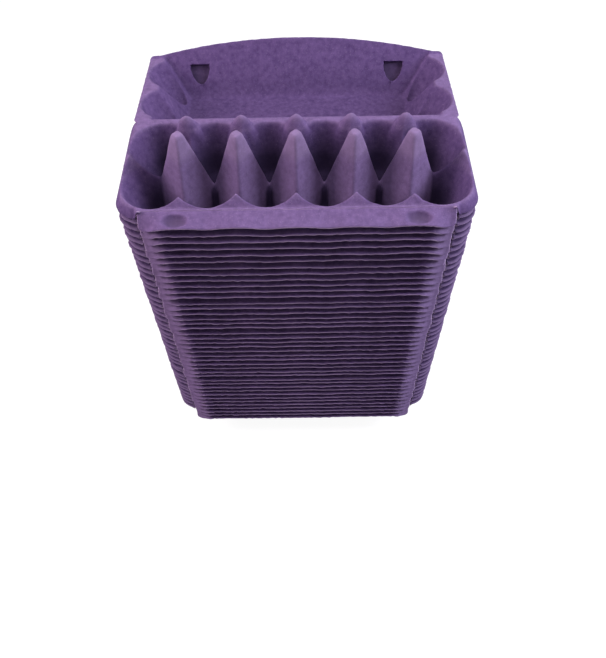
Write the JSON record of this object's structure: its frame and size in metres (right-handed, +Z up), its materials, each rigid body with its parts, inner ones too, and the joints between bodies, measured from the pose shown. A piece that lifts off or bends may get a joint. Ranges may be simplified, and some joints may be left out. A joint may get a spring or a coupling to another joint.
{
  "type": "stack of egg cartons",
  "caption": "Tall stack of purple moulded pulp egg cartons nested open, with tapered posts between the egg cells, hinged lids behind and tuck flaps with lock buttons in front.",
  "frame": {"origin": "centre of the stack's footprint, on the surface it stands on", "axes": "+X along the rows of cells, +Y from the flaps towards the lids, +Z up"},
  "size_m": [0.2992, 0.2442, 0.4042],
  "materials": {
    "pulp": "matte"
  },
  "bodies": {
    "stack": {"carton_01": "pulp", "carton_02": "pulp", "carton_03": "pulp", "carton_04": "pulp", "carton_05": "pulp", "carton_06": "pulp", "carton_07": "pulp", "carton_08": "pulp", "carton_09": "pulp", "carton_10": "pulp", "carton_11": "pulp", "carton_12": "pulp", "carton_13": "pulp", "carton_14": "pulp", "carton_15": "pulp", "carton_16": "pulp", "carton_17": "pulp", "carton_18": "pulp", "carton_19": "pulp", "carton_20": "pulp", "carton_21": "pulp", "carton_22": "pulp", "carton_23": "pulp", "carton_24": "pulp", "carton_25": "pulp", "carton_26": "pulp", "carton_27": "pulp", "carton_28": "pulp", "carton_29": "pulp", "carton_30": "pulp", "carton_31": "pulp", "carton_32": "pulp", "carton_33": "pulp", "carton_34": "pulp", "carton_35": "pulp", "carton_36": "pulp", "carton_37": "pulp", "carton_38": "pulp", "carton_39": "pulp", "carton_40": "pulp", "cups_34": "pulp", "cups_35": "pulp", "cups_36": "pulp", "cups_37": "pulp", "cups_38": "pulp", "cups_39": "pulp", "cups_40": "pulp", "top_tray": "pulp"},
    "lid": {"top_lid": "pulp"},
    "flap": {"top_flap": "pulp"}
  },
  "joints": [
    {"name": "lid_fold", "type": "hinge", "parent": "stack", "child": "lid", "pos_m": [0, 0.00441, 0.37395], "axis": [1, 0, 0], "range_deg": [0, 170]},
    {"name": "flap_fold", "type": "hinge", "parent": "stack", "child": "flap", "pos_m": [0, -0.10659, 0.37395], "axis": [-1, 0, 0], "range_deg": [0, 122]}
  ]
}
